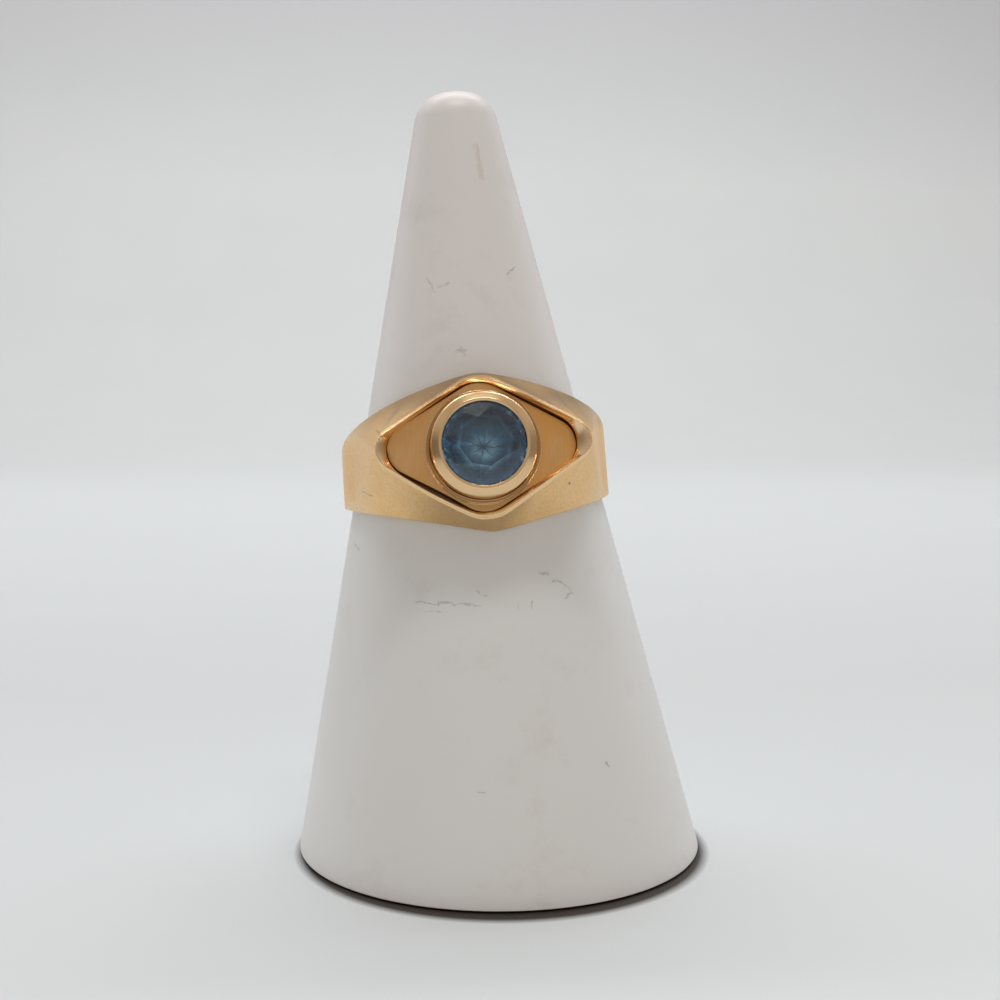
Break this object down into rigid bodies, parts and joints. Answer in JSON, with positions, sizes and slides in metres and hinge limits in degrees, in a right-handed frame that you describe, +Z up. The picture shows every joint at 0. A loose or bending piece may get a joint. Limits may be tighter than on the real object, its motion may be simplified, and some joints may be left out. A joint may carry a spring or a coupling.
{
  "type": "spinel ring on a ring cone",
  "caption": "Gold ring with a round blue stone in a tall bezel on a sunk lozenge plate, standing on a plain white leaning ring cone.",
  "frame": {"origin": "centre of the cone's foot, on the table", "axes": "+Z up, the stone faces -Y, the cone's axis leans towards -X"},
  "size_m": [0.03, 0.03, 0.0556],
  "materials": {
    "band_gold": "satin yellow gold, lightly worn",
    "setting_gold": "brushed plate and polished bezel of yellow gold",
    "spinel": "polished grey-blue stone",
    "cone_white": "warm white, lightly glossy, with faint marks"
  },
  "bodies": {
    "root": {"band": "band_gold", "setting": "setting_gold", "spinel": "spinel", "ring_cone": "cone_white"}
  },
  "joints": []
}
